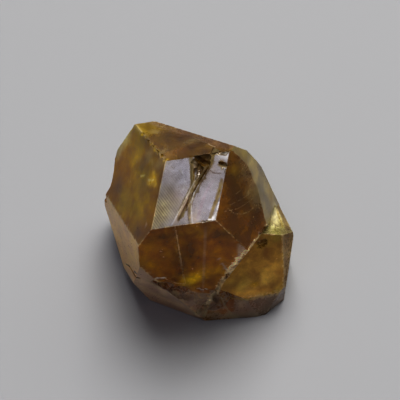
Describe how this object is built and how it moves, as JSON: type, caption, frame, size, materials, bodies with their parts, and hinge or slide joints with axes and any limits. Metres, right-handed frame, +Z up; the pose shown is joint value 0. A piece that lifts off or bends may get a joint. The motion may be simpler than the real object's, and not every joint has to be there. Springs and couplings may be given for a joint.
{
  "type": "grossular garnet crystal",
  "caption": "Natural garnet crystal in brown to olive honey tones: flat dodecahedral faces, chipped edges, a fracture step on one side and a flat broken foot to rest on.",
  "frame": {"origin": "middle of the crystal's footprint box, on the plane of its flat foot", "axes": "+Z up from the foot, -Y towards the large front face, +X towards the slipped block beyond the fracture"},
  "size_m": [0.0334, 0.0264, 0.0381],
  "materials": {
    "garnet": "translucent brown-olive garnet, polished natural faces with satin and chipped patches"
  },
  "bodies": {
    "root": {"garnet_crystal": "garnet"}
  },
  "joints": []
}
